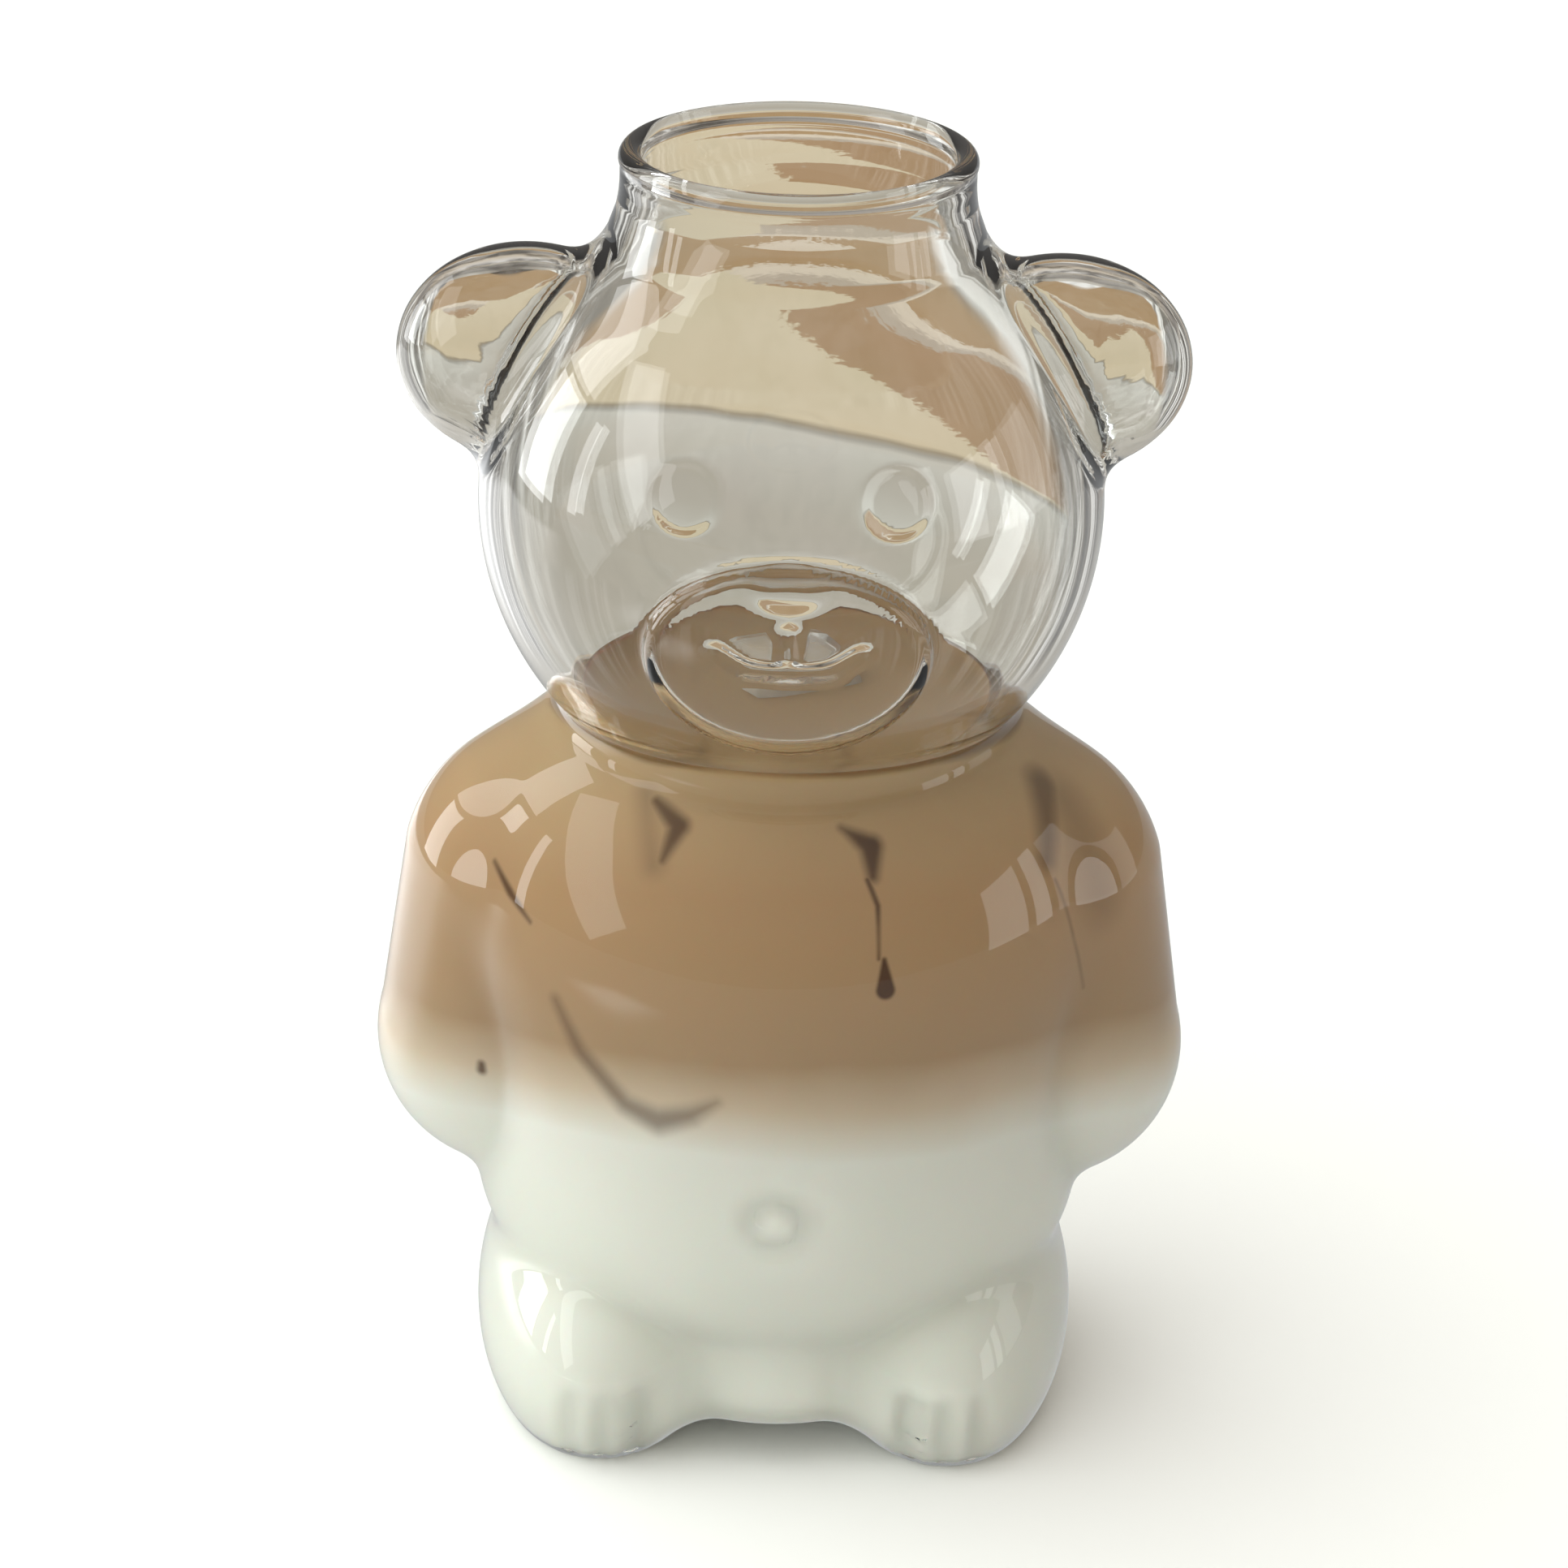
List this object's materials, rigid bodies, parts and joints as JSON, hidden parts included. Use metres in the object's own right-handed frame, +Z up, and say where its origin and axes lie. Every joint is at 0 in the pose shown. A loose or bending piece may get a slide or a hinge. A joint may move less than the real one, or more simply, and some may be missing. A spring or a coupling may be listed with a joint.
{
  "type": "bear-shaped drinking glass with iced milk coffee",
  "caption": "Standing bear drinking glass with a round hollow head, ears and an open neck, holding layered milk and coffee with ice cubes; one cube floats and lifts out.",
  "frame": {"origin": "middle of the overall box, on the surface the glass stands on; the neck's centre line is 1.35 mm behind it", "axes": "+Z up, -Y to the bear's front, +X to the viewer's right when facing the bear"},
  "size_m": [0.094, 0.0736, 0.1499],
  "materials": {
    "clear_glass": "clear blown glass, smooth and colourless, fire-polished at the lip",
    "milk": "opaque milk, stands in for a liquid",
    "coffee": "opaque milky coffee, stands in for a liquid",
    "ice": "wet ice tinted by the coffee around it"
  },
  "bodies": {
    "filled_glass": {"glass_vessel": "clear_glass", "milk": "milk", "coffee": "coffee", "ice_cube_belly_left": "ice", "ice_cube_chest_left": "ice", "ice_cube_chest_right": "ice", "ice_cube_right_shoulder": "ice", "ice_cube_left_shoulder": "ice", "ice_cube_left_arm": "ice", "ice_cube_right_arm": "ice", "ice_cube_back_left": "ice", "ice_cube_back_right": "ice", "ice_cube_back_middle": "ice"},
    "floating_ice": {"ice_cube_floating": "ice"}
  },
  "joints": [
    {"name": "ice_lift", "type": "slide", "parent": "filled_glass", "child": "floating_ice", "axis": [0, 0, 1], "range_m": [0, 0.085]}
  ]
}
